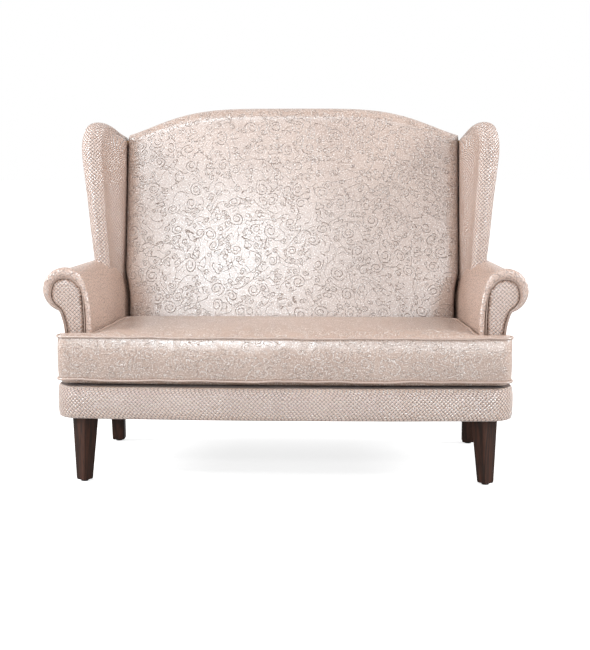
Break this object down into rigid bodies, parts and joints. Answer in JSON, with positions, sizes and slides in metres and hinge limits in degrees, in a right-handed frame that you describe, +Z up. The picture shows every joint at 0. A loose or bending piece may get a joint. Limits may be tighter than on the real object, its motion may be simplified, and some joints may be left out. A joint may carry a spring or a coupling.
{
  "type": "high back settee",
  "caption": "High back wing settee with a camel top, flared wings, scroll arms with rolled borders, a loose T-shaped seat cushion and tapered wooden legs.",
  "frame": {"origin": "on the floor under the middle of the settee's overall width and depth", "axes": "+Z up, +X to the right of someone facing the settee, +Y towards its back"},
  "size_m": [1.458, 0.7625, 1.13],
  "materials": {
    "walnut": "satin dark walnut stain",
    "glide_plastic": "matte black nylon",
    "zinc_steel": "bright zinc",
    "beech": "sawn beech",
    "hessian": "jute",
    "felt": "grey felt",
    "deck_cloth": "plain deck cloth",
    "black_cloth": "spun black cloth",
    "foam": "cut foam",
    "scroll_leather": "pearly leatherette embossed with a scroll vine",
    "weave_leather": "pearly leatherette embossed with a fine basket weave",
    "zip_tape": "woven zip tape",
    "zip_metal": "brushed brass"
  },
  "bodies": {
    "settee": {"front_leg_left": "walnut", "front_leg_right": "walnut", "rear_leg_left": "walnut", "rear_leg_right": "walnut", "floor_glides": "glide_plastic", "leg_bolts": "zinc_steel", "leg_tee_nuts": "zinc_steel", "corner_blocks": "beech", "seat_rail_front": "beech", "seat_rail_rear": "beech", "seat_rail_left": "beech", "seat_rail_right": "beech", "seat_cross_rail": "beech", "seat_springs": "zinc_steel", "spring_clips": "zinc_steel", "seat_hessian": "hessian", "seat_felt": "felt", "seat_deck": "deck_cloth", "base_border": "weave_leather", "dust_cover": "black_cloth", "back_post_left": "beech", "back_post_right": "beech", "back_top_rail": "beech", "back_lower_rail": "beech", "back_stiles": "beech", "back_webbing": "hessian", "back_foam": "foam", "inside_back": "scroll_leather", "outside_back": "weave_leather", "arm_front_board_left": "beech", "arm_front_board_right": "beech", "arm_top_rail_left": "beech", "arm_top_rail_right": "beech", "arm_base_rail_left": "beech", "arm_base_rail_right": "beech", "arm_pad_left": "weave_leather", "arm_pad_right": "weave_leather", "arm_facing_left": "weave_leather", "arm_facing_right": "weave_leather", "arm_border_left": "weave_leather", "arm_border_right": "weave_leather", "outside_arm_left": "weave_leather", "outside_arm_right": "weave_leather", "wing_frame_left": "beech", "wing_frame_right": "beech", "wing_left": "weave_leather", "wing_right": "weave_leather"},
    "seat_cushion": {"cushion_cover": "scroll_leather", "cushion_foam": "foam", "cushion_piping_top": "scroll_leather", "cushion_piping_bottom": "scroll_leather", "cushion_zip": "zip_tape"},
    "zip_pull": {"zip_slider": "zip_metal"}
  },
  "joints": [
    {"name": "cushion_lift", "type": "slide", "parent": "settee", "child": "seat_cushion", "axis": [0, 0, 1], "range_m": [0, 0.86]},
    {"name": "zip_slide", "type": "slide", "parent": "seat_cushion", "child": "zip_pull", "axis": [1, 0, 0], "range_m": [0, 0.87]}
  ]
}
